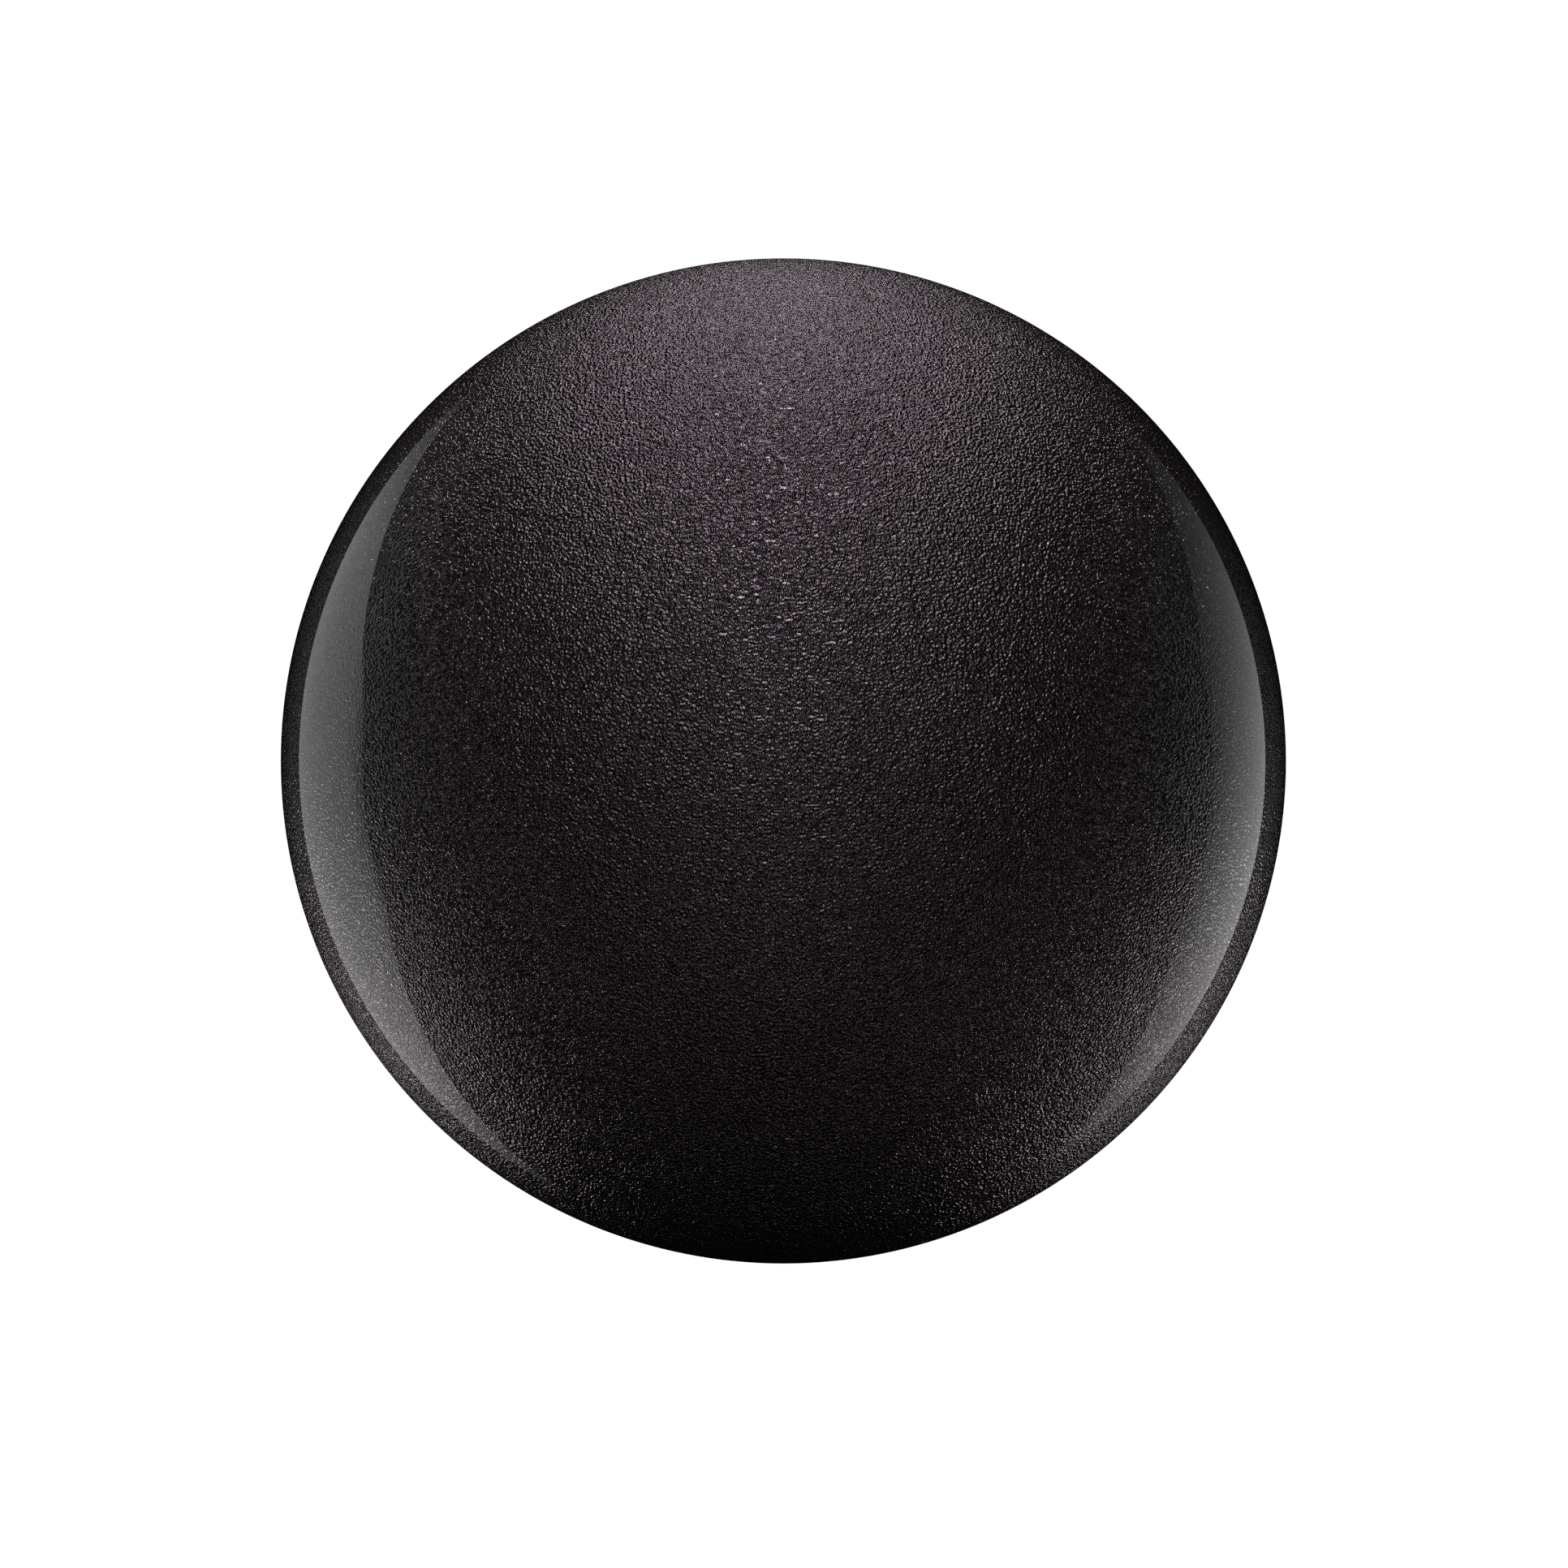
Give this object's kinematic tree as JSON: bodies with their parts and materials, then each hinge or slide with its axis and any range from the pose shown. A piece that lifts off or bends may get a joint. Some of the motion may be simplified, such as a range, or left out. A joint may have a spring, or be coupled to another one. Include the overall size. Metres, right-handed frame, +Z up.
{
  "type": "security tag detacher",
  "caption": "Round palm-press detacher for hard security tags: a black textured dome on a footed base, sprung magnet pot inside, tag cup in the underside.",
  "frame": {"origin": "centre of the rubber foot's ground face, on the dome's axis, with the dome at rest", "axes": "+Z up along the dome's axis, from the tag cup in the underside to the crown; +X from the axis to the first guide pin"},
  "size_m": [0.08, 0.08, 0.046],
  "materials": {
    "grip_plastic": "black ABS, fine spark-eroded grain",
    "base_plastic": "black ABS, satin moulded",
    "carrier_plastic": "dark grey glass-filled nylon",
    "foot_rubber": "charcoal non-slip rubber",
    "stop_rubber": "charcoal damping rubber",
    "cup_stainless": "deep-drawn stainless, fine turned",
    "soft_iron": "zinc-plated turned soft iron",
    "screw_zinc": "zinc-plated steel",
    "pin_steel": "ground hardened steel",
    "spring_steel": "oiled spring wire",
    "bush_bronze": "sintered bronze",
    "magnet_nickel": "nickel-plated sintered magnet",
    "retainer_aluminium": "satin"
  },
  "bodies": {
    "base": {"base_housing": "base_plastic", "foot_ring": "foot_rubber", "nest_cup": "cup_stainless", "nest_screws": "screw_zinc", "bump_ring": "stop_rubber", "guide_pin_1": "pin_steel", "guide_pin_2": "pin_steel", "guide_pin_3": "pin_steel", "retaining_clip_1": "spring_steel", "retaining_clip_2": "spring_steel", "retaining_clip_3": "spring_steel", "return_spring_1": "spring_steel", "return_spring_2": "spring_steel", "return_spring_3": "spring_steel"},
    "grip": {"dome_cover": "grip_plastic", "dome_screws": "screw_zinc", "magnet_carrier": "carrier_plastic", "guide_bush_1": "bush_bronze", "guide_bush_2": "bush_bronze", "guide_bush_3": "bush_bronze", "yoke_cup": "soft_iron", "yoke_screw": "screw_zinc", "back_magnet": "magnet_nickel", "pole_piece": "soft_iron", "radial_magnet_1": "magnet_nickel", "radial_magnet_2": "magnet_nickel", "radial_magnet_3": "magnet_nickel", "radial_magnet_4": "magnet_nickel", "radial_magnet_5": "magnet_nickel", "radial_magnet_6": "magnet_nickel", "radial_magnet_7": "magnet_nickel", "radial_magnet_8": "magnet_nickel", "magnet_retainer": "retainer_aluminium", "retainer_screws": "screw_zinc"}
  },
  "joints": [
    {"name": "dome_press", "type": "slide", "parent": "base", "child": "grip", "axis": [0, 0, -1], "range_m": [0, 0.006], "stiffness_N_per_m": 5184, "springref_m": -0.0033, "deforming": ["return_spring_1", "return_spring_2", "return_spring_3"]}
  ]
}
